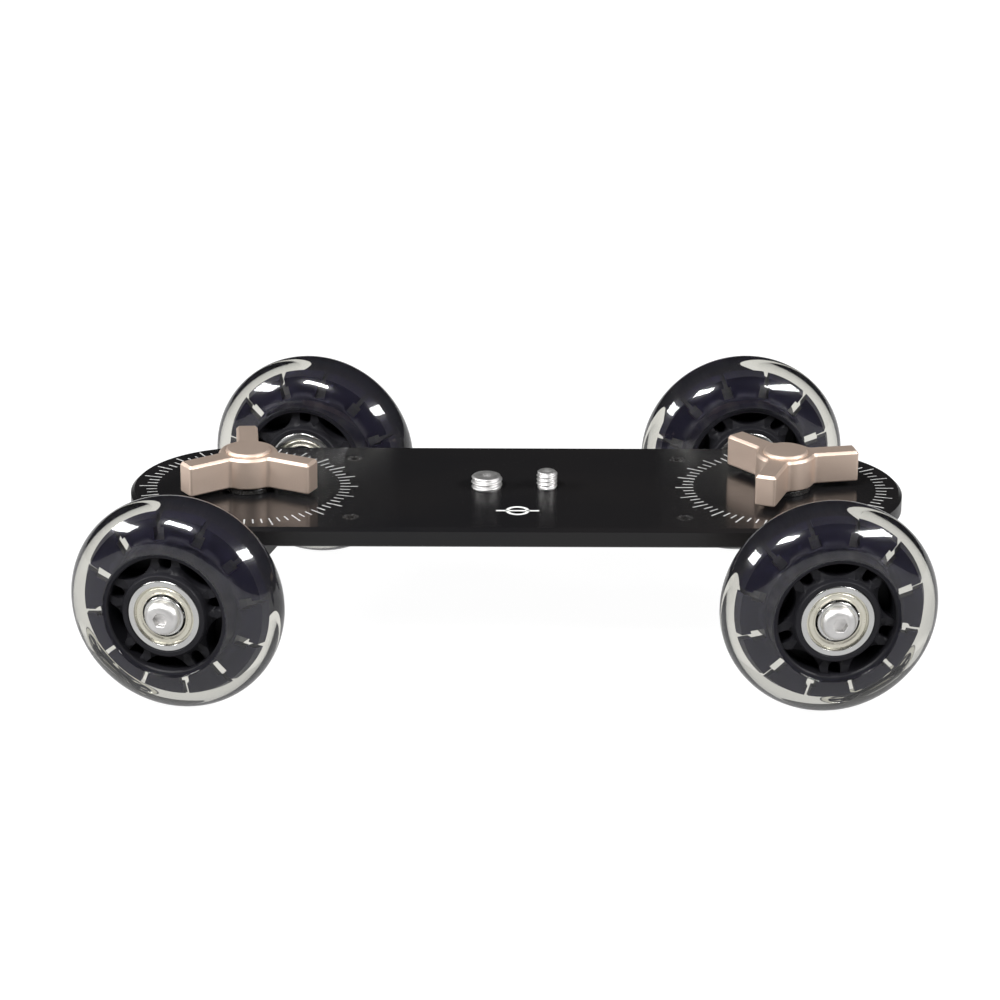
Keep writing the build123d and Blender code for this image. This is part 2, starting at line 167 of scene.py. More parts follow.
def makeFinish(name, own):
    # shade drifts between two colours with a soft cloud noise; a stretched fine noise is the grain,
    # which moves the roughness and stands up as a shallow bump, depth in millimetres
    look = {**plainFinish, **own}
    material = bpy.data.materials.new(name)
    material.use_nodes = True
    nodes, links = material.node_tree.nodes, material.node_tree.links
    shader = nodes["Principled BSDF"]
    coords = nodes.new("ShaderNodeTexCoord")

    def noise(scale, detail, source):
        mapping = nodes.new("ShaderNodeMapping")
        mapping.inputs["Scale"].default_value = scale
        links.new(coords.outputs[source], mapping.inputs["Vector"])
        texture = nodes.new("ShaderNodeTexNoise")
        texture.inputs["Scale"].default_value = 1.0
        texture.inputs["Detail"].default_value = detail
        links.new(mapping.outputs[0], texture.inputs["Vector"])
        return texture.outputs["Fac"]

    def ranged(value, low, high, start=0.3, stop=0.7):
        span = nodes.new("ShaderNodeMapRange")
        for socket, number in (("From Min", start), ("From Max", stop), ("To Min", low), ("To Max", high)):
            span.inputs[socket].default_value = number
        links.new(value, span.inputs["Value"])
        return span.outputs["Result"]

    cloud = noise((look["cloud"],) * 3, look["cloudDetail"], "Object")
    grain = noise(look["grain"], look["grainDetail"], look["grainOn"])
    tone = nodes.new("ShaderNodeMix")
    tone.data_type = "RGBA"
    tone.inputs["A"].default_value = (*look["shade"], 1)
    tone.inputs["B"].default_value = (*look["shadeTwo"], 1)
    links.new(ranged(cloud, 0.0, 1.0), tone.inputs["Factor"])
    shade = tone.outputs["Result"]
    if "paintedVeilShade" in look:
        # painted veil: where the piece's own attribute says that it lies under the urethane, a second, bluer
        # colour is painted on, standing in for the navy look that the urethane lays over the core
        sunk = nodes.new("ShaderNodeAttribute")
        sunk.attribute_name = "sunk"
        veiled = nodes.new("ShaderNodeMix")
        veiled.data_type = "RGBA"
        veiled.inputs["B"].default_value = (*look["paintedVeilShade"], 1)
        links.new(sunk.outputs["Fac"], veiled.inputs["Factor"])
        links.new(shade, veiled.inputs["A"])
        shade = veiled.outputs["Result"]
    links.new(shade, shader.inputs["Base Color"])
    links.new(ranged(grain, *look["roughness"]), shader.inputs["Roughness"])
    bump = nodes.new("ShaderNodeBump")
    bump.inputs["Strength"].default_value = 1.0
    bump.inputs["Distance"].default_value = look["depth"] * mm
    links.new(grain, bump.inputs["Height"])
    links.new(bump.outputs["Normal"], shader.inputs["Normal"])
    for socket, key in (("Metallic", "metal"), ("Specular IOR Level", "specular"), ("IOR", "ior"),
                        ("Transmission Weight", "clear"), ("Coat Weight", "coat"),
                        ("Coat Roughness", "coatRoughness")):
        shader.inputs[socket].default_value = look[key]
    if "streak" in look:
        shader.inputs["Anisotropic"].default_value = look["streak"]
        tangent = nodes.new("ShaderNodeTangent")
        tangent.direction_type = "UV_MAP"
        tangent.uv_map = "grainMap"
        links.new(tangent.outputs[0], shader.inputs["Tangent"])
    return material


brushedBlack = makeFinish("brushedBlack", {
    "shade": (0.007, 0.007, 0.008), "shadeTwo": (0.011, 0.010, 0.010), "cloud": 14.0,
    "grain": (24, 4200, 400), "roughness": (0.16, 0.23), "depth": 0.0005, "specular": 0.36, "streak": 0.9})
satinBlack = makeFinish("satinBlack", {
    "shade": (0.014, 0.014, 0.015), "shadeTwo": (0.022, 0.021, 0.021), "cloud": 30.0,
    "grain": (3000, 3000, 3000), "roughness": (0.34, 0.46), "depth": 0.004})
champagne = makeFinish("champagne", {
    "shade": (0.73, 0.575, 0.48), "shadeTwo": (0.79, 0.635, 0.53), "cloud": 45.0, "grain": (2600, 2600, 2600),
    "roughness": (0.44, 0.56), "depth": 0.0035, "metal": 0.85})
clearUrethane = makeFinish("clearUrethane", {
    "shade": (0.88, 0.87, 0.80), "shadeTwo": (0.84, 0.83, 0.77), "cloud": 25.0, "grain": (160, 160, 160),
    "roughness": (0.012, 0.03), "depth": 0.0015, "clear": 1.0, "ior": 1.49, "coat": 0.4,
    "coatRoughness": 0.17})
blackNylon = makeFinish("blackNylon", {
    "shade": (0.0085, 0.0083, 0.0105), "shadeTwo": (0.014, 0.0137, 0.017),
    # the bluer colour below is a painted veil for the core under the urethane, not the nylon's own colour
    "paintedVeilShade": (0.0105, 0.0094, 0.0255), "cloud": 60.0, "grain": (2400, 2400, 2400),
    "roughness": (0.42, 0.56), "depth": 0.006, "specular": 0.2})
bearingSteel = makeFinish("bearingSteel", {
    "shade": (0.74, 0.74, 0.73), "shadeTwo": (0.66, 0.66, 0.65), "cloud": 120.0, "grain": (0, 26000, 0),
    "grainOn": "UV", "roughness": (0.16, 0.27), "depth": 0.0006, "metal": 1.0, "streak": 0.35})
shieldZinc = makeFinish("shieldZinc", {
    "shade": (0.86, 0.83, 0.72), "shadeTwo": (0.78, 0.75, 0.63), "cloud": 150.0, "grain": (900, 900, 900),
    "roughness": (0.26, 0.40), "depth": 0.003, "metal": 1.0})
brightSteel = makeFinish("brightSteel", {
    "shade": (0.80, 0.80, 0.81), "shadeTwo": (0.70, 0.70, 0.71), "cloud": 130.0, "grain": (1500, 1500, 1500),
    "roughness": (0.13, 0.26), "depth": 0.0012, "metal": 1.0})
threadSteel = makeFinish("threadSteel", {
    "shade": (0.84, 0.83, 0.82), "shadeTwo": (0.74, 0.73, 0.72), "cloud": 260.0, "grain": (2200, 2200, 2200),
    "roughness": (0.40, 0.54), "depth": 0.003, "metal": 1.0})
zincSteel = makeFinish("zincSteel", {
    "shade": (0.62, 0.62, 0.63), "shadeTwo": (0.52, 0.52, 0.54), "cloud": 110.0, "grain": (1300, 1300, 1300),
    "roughness": (0.27, 0.42), "depth": 0.002, "metal": 1.0})
blackOxide = makeFinish("blackOxide", {
    "shade": (0.018, 0.018, 0.019), "shadeTwo": (0.036, 0.034, 0.032), "cloud": 160.0,
    "grain": (1800, 1800, 1800), "roughness": (0.18, 0.32), "depth": 0.002, "specular": 0.8})
sinteredBronze = makeFinish("sinteredBronze", {
    "shade": (0.50, 0.34, 0.17), "shadeTwo": (0.38, 0.26, 0.13), "cloud": 200.0, "grain": (2600, 2600, 2600),
    "roughness": (0.35, 0.55), "depth": 0.006, "metal": 1.0})
turnedAluminium = makeFinish("turnedAluminium", {
    "shade": (0.70, 0.70, 0.72), "shadeTwo": (0.62, 0.62, 0.64), "cloud": 120.0, "grain": (2200, 2200, 2200),
    "roughness": (0.25, 0.40), "depth": 0.002, "metal": 1.0})
naturalNylon = makeFinish("naturalNylon", {
    "shade": (0.78, 0.76, 0.70), "shadeTwo": (0.70, 0.68, 0.62), "cloud": 70.0, "grain": (1500, 1500, 1500),
    "roughness": (0.42, 0.58), "depth": 0.005})
wornPrint = makeFinish("wornPrint", {
    "shade": (0.62, 0.62, 0.61), "shadeTwo": (0.34, 0.34, 0.34), "cloud": 500.0, "grain": (6000, 6000, 6000),
    "roughness": (0.45, 0.70), "depth": 0.002})
printedWhite = makeFinish("printedWhite", {
    "shade": (0.88, 0.88, 0.87), "shadeTwo": (0.74, 0.74, 0.73), "cloud": 500.0, "grain": (6000, 6000, 6000),
    "roughness": (0.45, 0.70), "depth": 0.002})
print("finishes ready:", len(bpy.data.materials))


# gaps under which points are one (metres), for meshes made here and for the frame's own
mergeGap = {"made": 1e-7, "copied": 2e-6}


def addPiece(name, mesh, material, body, sharp=32.0):
    # smooth shading, with edges kept hard where they turn more than sharp degrees; it rides its body
    mesh.shade_smooth()
    mesh.set_sharp_from_angle(angle=math.radians(sharp))
    mesh.materials.clear()
    mesh.materials.append(material)
    piece = bpy.data.objects.new(name, mesh)
    scene.collection.objects.link(piece)
    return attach(piece, body)


def gridMesh(name, points, wrapRows=False, wrapColumns=True, lengths=None):
    # four-sided faces between the neighbours of a rows x columns grid of points; where a row shrinks to
    # a pole its points are merged. The map has u round the columns and v along the rows, in metres where
    # lengths is given
    rows, columns = points.shape[:2]
    index = np.arange(rows * columns).reshape(rows, columns)
    nextRow, nextColumn = np.roll(index, -1, 0), np.roll(index, -1, 1)
    quads = np.stack([index, nextColumn, np.roll(nextRow, -1, 1), nextRow], -1)
    u = np.arange(columns) / columns
    v = np.arange(rows) / rows if lengths is None else lengths
    step = np.append(np.diff(v), v[-1] - v[-2])
    uLow, vLow = np.broadcast_to(u, (rows, columns)), np.broadcast_to(v[:, None], (rows, columns))
    uHigh, vHigh = uLow + 1 / columns, vLow + step[:, None]
    pairs = ((uLow, vLow), (uHigh, vLow), (uHigh, vHigh), (uLow, vHigh))
    corners = np.stack([np.stack(pair, -1) for pair in pairs], 2)
    quads = quads[: None if wrapRows else -1, : None if wrapColumns else -1]
    corners = corners[: None if wrapRows else -1, : None if wrapColumns else -1]
    mesh = bpy.data.meshes.new(name)
    mesh.from_pydata(points.reshape(-1, 3), [], quads.reshape(-1, 4))
    layer = mesh.uv_layers.new(name="grainMap")
    layer.data.foreach_set("uv", corners.reshape(-1).astype(np.float32))
    shape = bmesh.new()
    shape.from_mesh(mesh)
    bmesh.ops.remove_doubles(shape, verts=shape.verts, dist=mergeGap["made"])
    bmesh.ops.recalc_face_normals(shape, faces=shape.faces)
    shape.to_mesh(mesh)
    shape.free()
    return mesh


def softened(corners, radius, steps=5, closed=True):
    # each corner of the outline is swapped for a short parabola: (1-t)^2 A + 2t(1-t) P + t^2 B, where
    # A and B lie on the two edges, a radius back from the corner P or a little under half an edge
    p = np.array(corners, float)
    before, after = np.roll(p, 1, 0) - p, np.roll(p, -1, 0) - p
    gapBefore = np.linalg.norm(before, axis=1, keepdims=True) + 1e-12
    gapAfter = np.linalg.norm(after, axis=1, keepdims=True) + 1e-12
    reach = np.broadcast_to(np.reshape(radius, (-1, 1)), gapBefore.shape)
    underHalf = 0.45
    a = p + before / gapBefore * np.minimum(reach, gapBefore * underHalf)
    b = p + after / gapAfter * np.minimum(reach, gapAfter * underHalf)
    t = np.linspace(0, 1, steps)[None, :, None]
    curve = (1 - t) ** 2 * a[:, None] + 2 * t * (1 - t) * p[:, None] + t ** 2 * b[:, None]
    if not closed:
        curve[0], curve[-1] = p[0], p[-1]
    return curve.reshape(-1, 2)


def turnedPoints(profile, axes, columns, hexShare=None):
    # point(u, v) = origin + r(v) k(u, v) (cos u across + sin u up) + h(v) out; k is 1 for a round row and
    # 1 / cos(u mod 60 - 30) for a six-sided one, mixed by hexShare
    origin, across, up, out = axes
    u = np.arange(columns) * 2 * np.pi / columns
    spoke = np.cos(u)[:, None] * across + np.sin(u)[:, None] * up
    hexagon = 1 / np.cos(np.mod(u, np.pi / 3) - np.pi / 6)
    share = np.zeros(len(profile)) if hexShare is None else np.array(hexShare, float)
    radius = profile[:, 0, None] * (1 - share[:, None] + share[:, None] * hexagon)
    return origin + radius[..., None] * mm * spoke + profile[:, 1, None, None] * mm * out


def turnedMesh(name, profile, axes, columns=144, wrapRows=True, hexShare=None):
    # a profile of (radius, height) in millimetres carried round an axle
    profile = np.array(profile, float)
    along = np.append(0, np.cumsum(np.linalg.norm(np.diff(profile, axis=0), axis=1))) * mm
    return gridMesh(name, turnedPoints(profile, axes, columns, hexShare), wrapRows, True, along)


def joined(name, meshes):
    # several meshes of one finish as a single mesh
    shape = bmesh.new()
    for mesh in meshes:
        shape.from_mesh(mesh)
        bpy.data.meshes.remove(mesh)
    mesh = bpy.data.meshes.new(name)
    shape.to_mesh(mesh)
    shape.free()
    return mesh


def wheelAxes(wheel):
    # centre of a wheel, with out along the axle away from the deck, up, and across to close the set
    joint = jointOf["spin_" + wheel]
    out = np.array(joint["axis"]) * (1.0 if wheel.startswith("back") else -1.0)
    up = np.array([0.0, 0.0, 1.0])
    return np.array(joint["pos_m"]), np.cross(up, out), up, out


def uprightAxes(x, y=0.0):
    # a standing axis through (x, y), with heights measured from the ground
    across, up, out = np.eye(3)
    return np.array([x, y, 0.0]), across, up, out


def markSunk(mesh, axes, start, stop):
    # attribute: 0 nearer the axle than start, 1 beyond stop, straight between them (metres); it places the
    # core's painted veil
    places = np.zeros(len(mesh.vertices) * 3, np.float32)
    mesh.vertices.foreach_get("co", places)
    arm = places.reshape(-1, 3) - axes[0]
    radius = np.linalg.norm(arm - (arm @ axes[3])[:, None] * axes[3], axis=1)
    layer = mesh.attributes.new("sunk", "FLOAT", "POINT")
    layer.data.foreach_set("value", np.clip((radius - start) / (stop - start), 0, 1).astype(np.float32))


def smoothCopy(node, name, material, body, flatMap=False, sharp=20.0, evening=80):
    # the frame's own surface with its loose triangles merged, so that round walls shade smoothly
    mesh = frame["nodes"][node].data.copy()
    mesh.name = name
    shape = bmesh.new()
    shape.from_mesh(mesh)
    bmesh.ops.remove_doubles(shape, verts=shape.verts, dist=mergeGap["copied"])
    bmesh.ops.dissolve_degenerate(shape, edges=shape.edges, dist=mergeGap["made"])
    shape.to_mesh(mesh)
    shape.free()
    if flatMap:
        # map straight down onto the deck, u across it, so that the streaks of the brushing run along it
        places = np.zeros(len(mesh.vertices) * 3, np.float32)
        mesh.vertices.foreach_get("co", places)
        corner = np.zeros(len(mesh.loops), np.int32)
        mesh.loops.foreach_get("vertex_index", corner)
        flat = places.reshape(-1, 3)[corner][:, [1, 0]] * [1, -1]
        layer = mesh.uv_layers.new(name="grainMap")
        layer.data.foreach_set("uv", flat.reshape(-1).astype(np.float32))
    piece = addPiece(name, mesh, material, body, sharp)
    evenOut = piece.modifiers.new("evenOut", "WEIGHTED_NORMAL")
    evenOut.mode, evenOut.keep_sharp, evenOut.weight = "FACE_AREA", True, evening
    return piece


wheels = [end + "_" + side for side in ("left", "right") for end in ("front", "back")]
sides = ("left", "right")


# sizes from here on are in millimetres; a print on the deck starts sunk under its top
deckSize = {"top": 45.0, "sunk": 0.01}
deckPlate = smoothCopy("base_plate", "deckPlate", brushedBlack, "deck", flatMap=True)
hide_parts("base_plate")

# degree ring: ticks from an inner circle every step degrees, some longer, printed a hair proud
scaleRing = {"step": 5, "inner": 28.0, "short": 31.2, "long": 33.4, "longEvery": 3, "width": 0.46,
             "proud": 0.02}


def tickRing(name, centreX, look):
    # a box per tick: corner(i, j) = centre + r_j (cos a_i, sin a_i) + w_j (-sin a_i, cos a_i), low and high
    angle = np.radians(np.arange(0, 360, look["step"]))
    reach = np.where(np.arange(len(angle)) % look["longEvery"] == 0, look["long"], look["short"])
    spoke = np.stack([np.cos(angle), np.sin(angle)], -1)
    beside = np.stack([-np.sin(angle), np.cos(angle)], -1) * look["width"] / 2
    near, far = spoke * look["inner"], spoke * reach[:, None]
    flat = np.stack([near - beside, far - beside, far + beside, near + beside], 1)
    heights = np.array([deckSize["top"] - deckSize["sunk"], deckSize["top"] + look["proud"]])
    corners = np.concatenate([np.broadcast_to(flat[:, None], (len(angle), 2, 4, 2)),
                              np.broadcast_to(heights[None, :, None, None], (len(angle), 2, 4, 1))], -1)
    points = (corners.reshape(-1, 3) + [centreX / mm, 0, 0]) * mm
    box = np.array([[3, 2, 1, 0], [4, 5, 6, 7], [0, 1, 5, 4], [1, 2, 6, 5], [2, 3, 7, 6], [3, 0, 4, 7]])
    mesh = bpy.data.meshes.new(name)
    mesh.from_pydata(points, [], (np.arange(len(angle))[:, None, None] * 8 + box).reshape(-1, 4))
    return mesh


for side in sides:
    ticks = tickRing("degreeRing_" + side, jointOf["steer_" + side]["pos_m"][0], scaleRing)
    ring = addPiece("degreeRing_" + side, ticks, wornPrint, "deck", 20.0)

# plain centre mark between the studs and the front edge: a circle crossed by a line
markSize = {"centre": (0.0, -20.0), "radius": 3.1, "band": 1.0, "line": 13.0, "lineWidth": 0.9,
            "proud": 0.02, "circlePoints": 64, "linePoints": 9}


def bandMesh(name, path, width, low, high, closed):
    # a flat band: the path is shifted half the width to each side along its normal, at two heights
    ahead = np.roll(path, -1, 0) - np.roll(path, 1, 0) if closed else np.gradient(path, axis=0)
    normal = np.stack([-ahead[:, 1], ahead[:, 0]], -1)
    normal /= np.linalg.norm(normal, axis=1, keepdims=True)
    section = ((-1, low), (1, low), (1, high), (-1, high))
    rows = [np.column_stack([path + normal * width / 2 * s, np.full(len(path), h)]) for s, h in section]
    points = np.stack(rows) * mm
    if closed:
        return gridMesh(name, points, True, True)
    middle = points.mean(0, keepdims=True)
    points = np.concatenate([np.repeat(middle[:, :1], 4, 0), points, np.repeat(middle[:, -1:], 4, 0)], 1)
    return gridMesh(name, points, True, False)


def planeMark(look):
    # circle: centre + radius (cos a, sin a); line: level points through the centre
    low, high = deckSize["top"] - deckSize["sunk"], deckSize["top"] + look["proud"]
    centre = np.array(look["centre"])
    a = np.linspace(0, 2 * np.pi, look["circlePoints"], endpoint=False)
    circle = centre + look["radius"] * np.stack([np.cos(a), np.sin(a)], -1)
    along = np.linspace(-0.5, 0.5, look["linePoints"]) * look["line"]
    line = centre + np.stack([along, np.zeros(len(along))], -1)
    return joined("planeMark", [bandMesh("markCircle", circle, look["band"], low, high, True),
                                bandMesh("markLine", line, look["lineWidth"], low, high, False)])


mark = addPiece("planeMark", planeMark(markSize), printedWhite, "deck", 20.0)
print("deck ready")

# camera studs: major radius, pitch and height above the deck of each thread
studs = {
    "camera_stud_38": {"x": -9.2, "radius": 4.7625, "pitch": 1.5875, "height": 3.8, "cup": 1.6},
    "camera_stud_14": {"x": 9.2, "radius": 3.175, "pitch": 1.27, "height": 5.3, "cup": 1.5},
}
# what both studs share: lead at the top, plain neck and its depth, length in the deck, fineness
studShape = {"lead": 0.6, "neck": 0.4, "neckDepth": 0.37, "buried": 5.5, "columns": 120, "rows": 90}


def threadedStud(name, look):
    # r(u, h) = major - depth (1/2 - 1/2 cos(2 pi (h / pitch - u / 2 pi)))^0.8, never past the 45 degree
    # lead at the top nor the plain root below; the top closes to a shallow cup
    deckTop, columns = deckSize["top"], look["columns"]
    top, bottom = deckTop + look["height"], deckTop - look["buried"]
    depth = look["pitch"] * 0.5
    h = np.concatenate([np.linspace(bottom, deckTop - 0.05, 4), np.linspace(deckTop, top, look["rows"])])
    u = np.arange(columns) * 2 * np.pi / columns
    wave = 0.5 - 0.5 * np.cos(2 * np.pi * (h[:, None] / look["pitch"] - u[None, :] / (2 * np.pi)))
    r = look["radius"] - depth * wave ** 0.8
    r = np.minimum(r, look["radius"] - np.clip(h[:, None] - top + look["lead"], 0, None))
    r = np.where(h[:, None] < deckTop + look["neck"], look["radius"] - look["neckDepth"], r)
    cup = look["cup"]
    ends = np.array([(0, bottom), (cup, top), (cup * 0.5, top - cup * 0.36), (0, top - cup * 0.5)])
    r = np.concatenate([np.full((1, columns), ends[0, 0]), r, np.repeat(ends[1:, :1], columns, 1)])
    h = np.concatenate([ends[:1, 1], h, ends[1:, 1]])
    spoke = np.stack([np.cos(u), np.sin(u), np.zeros(columns)], -1)
    centre = np.array([look["x"], 0, 0])
    points = (centre + r[..., None] * spoke + h[:, None, None] * np.array([0, 0, 1])) * mm
    return gridMesh(name, points)


for studName, look in studs.items():
    thread = threadedStud(studName, {**studShape, **look})
    stud = addPiece(studName.replace("camera", "threaded"), thread, threadSteel, "deck", 60.0)
    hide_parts(studName)
print("studs ready")


# three square arms on a round hub; radii and reaches from the bolt, heights from the ground
knobSize = {"reach": 22.4, "halfWidth": 3.3, "hub": 9.0, "corner": 0.9, "cornerLeast": 0.12, "root": 1.6,
            "bottom": 47.1, "bottomEdge": 0.35, "top": 56.7, "topEdge": 0.75, "edgeSoftness": 0.2,
            "cap": 6.9, "capWall": 0.25, "capSlope": 0.65, "capFlat": 2.0, "capTop": 57.6,
            "capSoftness": 0.14, "boss": 6.6, "bossBottom": 46.6, "insert": 6.0, "insertRoof": 54.6}
knobPoints = {"hub": 10, "root": 9, "side": 12, "corner": 8, "end": 4}
knobAngle = {"left": -26.2, "right": 10.2}
flatWasher = {"hole": 4.3, "rim": 8.0, "low": 45.0, "high": 46.6, "softness": 0.3}


def starOutline(inset, look):
    # half an arm is hub arc, concave root arc, straight side, corner arc and end; mirrored, then turned
    # by 0, 120 and 240 degrees. An inset moves every wall inwards by that much
    w, reach, hub = look["halfWidth"] - inset, look["reach"] - inset, look["hub"] - inset
    corner, root = max(look["corner"] - inset, look["cornerLeast"]), look["root"] + inset
    count = knobPoints
    rootX = math.sqrt((hub + root) ** 2 - (w + root) ** 2)
    rootAngle = math.atan2(-(w + root), rootX)

    def arc(x, y, radius, start, stop, count):
        a = np.linspace(start, stop, count)
        return np.stack([x + radius * np.cos(a), y + radius * np.sin(a)], -1)

    side = np.linspace(rootX, reach - corner, count["side"] + 2)[1:-1]
    end = np.linspace(-(w - corner), 0, count["end"] + 2)[1:-1]
    half = np.concatenate([
        arc(0, 0, hub, -math.pi / 3, rootAngle, count["hub"])[:-1],
        arc(rootX, -(w + root), root, rootAngle + math.pi, math.pi / 2, count["root"]),
        np.stack([side, np.full(len(side), -w)], -1),
        arc(reach - corner, -(w - corner), corner, -math.pi / 2, 0, count["corner"]),
        np.stack([np.full(len(end), reach), end], -1),
    ])
    arm = np.concatenate([half, [(reach, 0)], half[:0:-1] * [1, -1]])
    turns = np.radians([0, 120, 240])
    forward = np.stack([np.cos(turns), np.sin(turns)], -1)
    sideways = np.stack([-np.sin(turns), np.cos(turns)], -1)
    spin = np.stack([forward, sideways], 1)
    return np.einsum("pk,tkc->tpc", arm, spin).reshape(-1, 2)


def knobMesh(name, side, look):
    # rows run from the insert's hole, out over the underside, up the star walls and in over the top to
    # the cap; round rows keep the star's own directions, so that the columns never cross
    base = starOutline(0.0, look)
    direction = base / np.linalg.norm(base, axis=1, keepdims=True)
    low, high, under, over = look["bottom"], look["top"], look["bottomEdge"], look["topEdge"]
    walls = softened([(under, low), (0, low + under), (0, high - over), (over, high)],
                     look["edgeSoftness"], 5, closed=False)
    rim, capTop = look["cap"], look["capTop"]
    cap = softened([(rim, high), (rim, high + look["capWall"]), (rim - look["capSlope"], capTop),
                    (rim - look["capFlat"], capTop)], look["capSoftness"], 4, closed=False)
    insert, roof, boss, foot = look["insert"], look["insertRoof"], look["boss"], look["bossBottom"]
    inside = ((0, roof), (insert, roof), (insert, foot), (boss, foot), (boss, low))
    rows = [(r * direction, h) for r, h in inside]
    rows += [(starOutline(inset, look), h) for inset, h in walls]
    rows += [(r * direction, h) for r, h in cap] + [(0 * direction, capTop)]
    flat = np.stack([row for row, h in rows])
    heights = np.broadcast_to(np.array([h for row, h in rows])[:, None, None], flat.shape[:2] + (1,))
    a = math.radians(knobAngle[side])
    flat = flat @ np.array([[math.cos(a), math.sin(a)], [-math.sin(a), math.cos(a)]])
    points = np.concatenate([flat, heights], -1) * mm + [jointOf["steer_" + side]["pos_m"][0], 0, 0]
    return gridMesh(name, points)


def washerMesh(name, look, axes, columns=144):
    # a flat ring whose four edges are softened
    hole, rim, low, high = (look[key] for key in ("hole", "rim", "low", "high"))
    outline = softened([(hole, low), (rim, low), (rim, high), (hole, high)], look["softness"])
    return turnedMesh(name, outline, axes, columns)


for side in sides:
    star = knobMesh("armKnob_" + side, side, knobSize)
    knob = addPiece("armKnob_" + side, star, champagne, "knob_" + side, 24.0)
    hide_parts("clamp_knob_" + side)
    axes = uprightAxes(jointOf["steer_" + side]["pos_m"][0])
    disc = washerMesh("flatWasher_" + side, flatWasher, axes)
    washer = addPiece("flatWasher_" + side, disc, blackOxide, "washer_" + side)
    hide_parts("knob_washer_" + side)
print("knobs ready")


# along the axle, heights in a wheel are from its middle
tyreSize = {"side": 19.5, "crown": 13.0, "half": 12.0, "lip": 18.9, "lipFace": 11.85, "lipEdge": 0.1,
            "lipStep": 0.25, "lipDrop": 0.02, "bore": 6.0, "points": 72, "columns": 240}
# width in millimetres, outside the lip, over which the core's painted veil fades in
sunkBand = 1.0


def tyreProfile(look):
    # r(a) = side + crown cos a, h(a) = half sin a for a from -90 to 90, closed by the lips and a plain bore
    a = np.linspace(-np.pi / 2, np.pi / 2, look["points"])
    tread = np.stack([look["side"] + look["crown"] * np.cos(a), look["half"] * np.sin(a)], -1)
    lip, outerLip = look["lip"], look["lip"] + look["lipStep"]
    edge, drop, bore = look["lipFace"] - look["lipEdge"], look["half"] - look["lipDrop"], look["bore"]
    closing = [(outerLip, drop), (lip, edge), (lip, bore), (lip, -bore), (lip, -edge), (outerLip, -drop)]
    return np.concatenate([tread, closing])


bearing = {"seat": 11.0, "outerInside": 9.25, "land": 9.05, "landStep": 0.9, "bore": 4.0,
           "innerOutside": 6.05, "half": 3.5, "offset": 8.5, "pitchRadius": 7.5, "groove": 2.015,
           "grooveReach": 46, "groovePoints": 13, "outerEdge": 0.45, "lipEdge": 0.12, "innerEdge": 0.4}
# the shield's outer face from its rim to its bore, and its sheet
shieldDish = {"face": [(9.24, 2.8), (8.75, 2.8), (8.45, 3.2), (7.3, 3.2), (7.0, 2.95), (6.6, 2.95)],
              "sheet": 0.3, "softness": 0.14}


def grooveArc(sign, look):
    # r(a) = pitch + sign g cos a, h(a) = g sin a for a from -reach to reach
    a = np.radians(np.linspace(-look["grooveReach"], look["grooveReach"], look["groovePoints"]))
    return np.stack([look["pitchRadius"] + sign * look["groove"] * np.cos(a), look["groove"] * np.sin(a)], -1)


def outerRingProfile(look):
    # a square section with softened edges, stepped in to a land each side of the groove
    half, step = look["half"], look["half"] - look["landStep"]
    inside, seat, land = look["outerInside"], look["seat"], look["land"]
    rim = softened([(inside, -half), (seat, -half), (seat, half), (inside, half)],
                   [look["lipEdge"], look["outerEdge"], look["outerEdge"], look["lipEdge"]])
    return np.concatenate([rim, [(inside, step), (land, step)], grooveArc(1, look)[::-1],
                           [(land, -step), (inside, -step)]])


def innerRingProfile(look):
    # a square section with softened edges and the groove outside
    half, outside, bore = look["half"], look["innerOutside"], look["bore"]
    rim = softened([(outside, half), (bore, half), (bore, -half), (outside, -half)], look["innerEdge"])
    return np.concatenate([rim, grooveArc(-1, look)])


def shieldProfile(side, look):
    # a thin pressed dish: crimped low at its rim, raised over its broad face, turned in at the bore
    outer = np.array(look["face"])
    band = np.concatenate([outer, (outer - [0, look["sheet"]])[::-1]])
    return softened(band * [1, side], look["softness"], 4)


def atBothBearings(name, profiles, axes, columns=144):
    # the same sections at the wheel's inner and outer bearing
    meshes = []
    for place in (-bearing["offset"], bearing["offset"]):
        for profile in profiles:
            meshes.append(turnedMesh(name, profile + [0, place], axes, columns))
    return joined(name, meshes)


for wheel in wheels:
    axes = wheelAxes(wheel)
    body = "wheel_" + wheel
    cast = turnedMesh("clearTyre_" + wheel, tyreProfile(tyreSize), axes, tyreSize["columns"])
    tyre = addPiece("clearTyre_" + wheel, cast, clearUrethane, body, 60.0)
    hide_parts("tyre_" + wheel)
    core = smoothCopy("core_" + wheel, "pocketCore_" + wheel, blackNylon, body)
    markSunk(core.data, axes, tyreSize["lip"] * mm, (tyreSize["lip"] + sunkBand) * mm)
    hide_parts("core_" + wheel)
    rings = atBothBearings("outerRaces_" + wheel, [outerRingProfile(bearing)], axes)
    races = addPiece("outerRaces_" + wheel, rings, bearingSteel, body)
    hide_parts("outer_rings_" + wheel)
    dishes = [shieldProfile(1, shieldDish), shieldProfile(-1, shieldDish)]
    pressed = atBothBearings("dishShields_" + wheel, dishes, axes)
    shields = addPiece("dishShields_" + wheel, pressed, shieldZinc, body)
    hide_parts("shields_" + wheel)
print("wheels ready")


buttonHead = {"face": 12.0, "radius": 5.25, "height": 3.3, "brim": 0.9, "brimEdge": 0.25, "crown": 2.9,
              "hexMouth": 2.5, "hexFlat": 2.0, "hexLead": 0.12, "hexDrop": 0.02, "hexDepth": 2.1,
              "hexPoint": 0.4, "shank": 3.0, "shankTip": 0.5, "fillet": 0.05, "length": 45.0,
              "domePoints": 12}
endWasher = {"hole": 3.2, "rim": 6.0, "low": -13.5, "high": -12.0, "softness": 0.2}


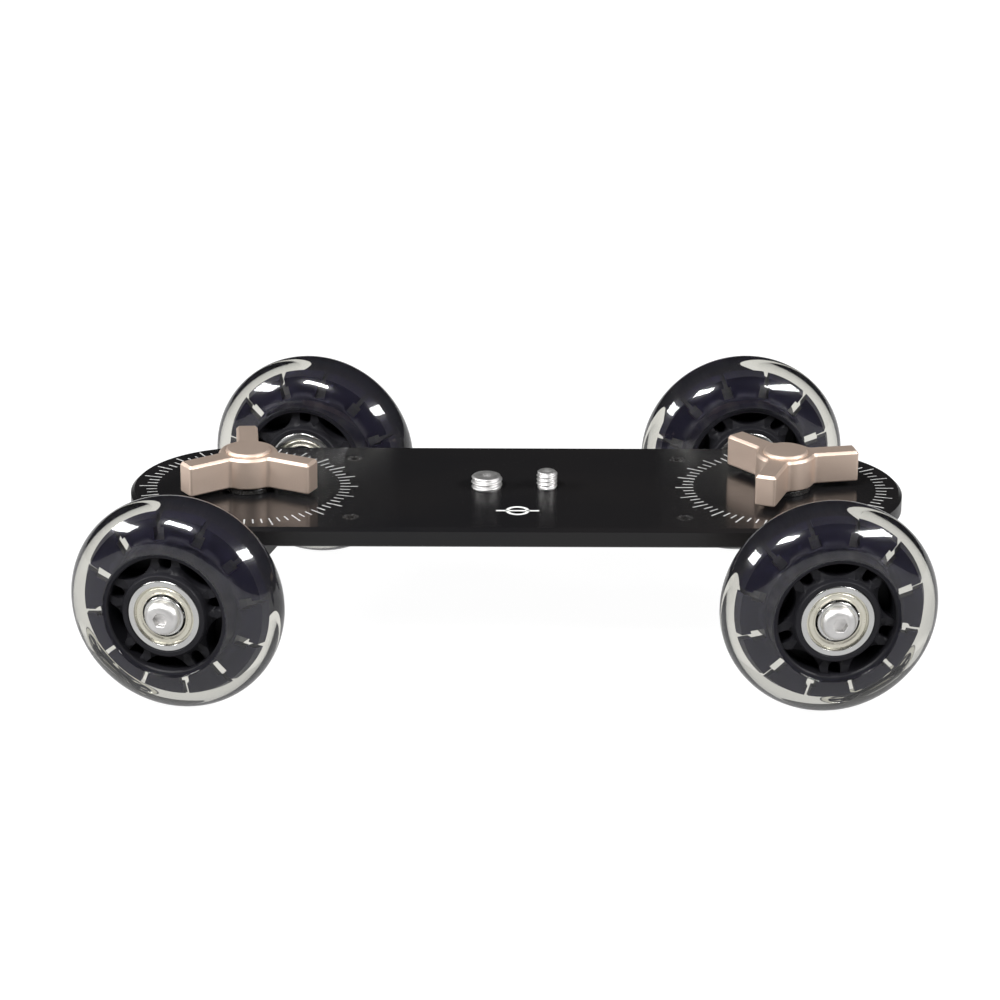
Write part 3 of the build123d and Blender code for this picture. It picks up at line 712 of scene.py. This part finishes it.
def screwMesh(name, axes, look):
    # from the tip of the shank out under the head, over its dome and down the six-sided socket
    # dome: r(a) = crown + (radius - crown) cos a, h(a) = face + brim + (height - brim) sin a
    face, top = look["face"], look["face"] + look["height"]
    tip, shank, radius = face - look["length"], look["shank"], look["radius"]
    chamfer, fillet, edge = look["shankTip"], look["fillet"], look["brimEdge"]
    crown, brim = look["crown"], look["brim"]
    a = np.linspace(0, np.pi / 2, look["domePoints"])
    dome = np.stack([crown + (radius - crown) * np.cos(a),
                     face + brim + (look["height"] - brim) * np.sin(a)], -1)
    start = [(0, tip), (shank - chamfer, tip), (shank, tip + chamfer), (shank, face - fillet),
             (shank + fillet, face), (radius - edge, face), (radius, face + edge)]
    flat, lead, socket = look["hexFlat"], look["hexLead"], top - look["hexDepth"]
    end = [(look["hexMouth"], top), (flat + lead, top - look["hexDrop"]), (flat, top - lead), (flat, socket),
           (0, socket - look["hexPoint"])]
    share = [0] * (len(start) + len(dome)) + [0, 1, 1, 1, 1]
    profile = np.concatenate([start, dome, end])
    return turnedMesh(name, profile, axes, 144, wrapRows=False, hexShare=share)


for side in sides:
    pair = [wheelAxes("front_" + side), wheelAxes("back_" + side)]
    body = "axle_" + side
    heads = joined("buttonScrews_" + side, [screwMesh("screw", axes, buttonHead) for axes in pair])
    screws = addPiece("buttonScrews_" + side, heads, threadSteel, body)
    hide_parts("axle_screws_" + side)
    raceShape = innerRingProfile(bearing)
    rings = joined("innerRaces_" + side, [atBothBearings("race", [raceShape], axes) for axes in pair])
    inner = addPiece("innerRaces_" + side, rings, bearingSteel, body)
    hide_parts("inner_rings_" + side)
    discs = joined("endWashers_" + side, [washerMesh("washer", endWasher, axes, 96) for axes in pair])
    spacers = addPiece("endWashers_" + side, discs, zincSteel, body)
    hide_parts("end_washers_" + side)
    bar = smoothCopy("axle_bar_" + side, "axleBeam_" + side, satinBlack, body)
    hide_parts("axle_bar_" + side)

# frame parts that keep their own surface
keptFinish = {"pivot_bushes": sinteredBronze, "plug_screws": blackOxide, "clamp_bolt": zincSteel,
              "friction_pad": naturalNylon, "bearing_spacers": turnedAluminium, "axle_sleeves": brightSteel,
              "knob_insert": zincSteel, "balls": brightSteel, "cages": zincSteel}
for nodeName, node in frame["nodes"].items():
    found = [start for start in keptFinish if nodeName.startswith(start)]
    if found:
        node.data.materials.clear()
        node.data.materials.append(keptFinish[found[0]])
print("axles ready")
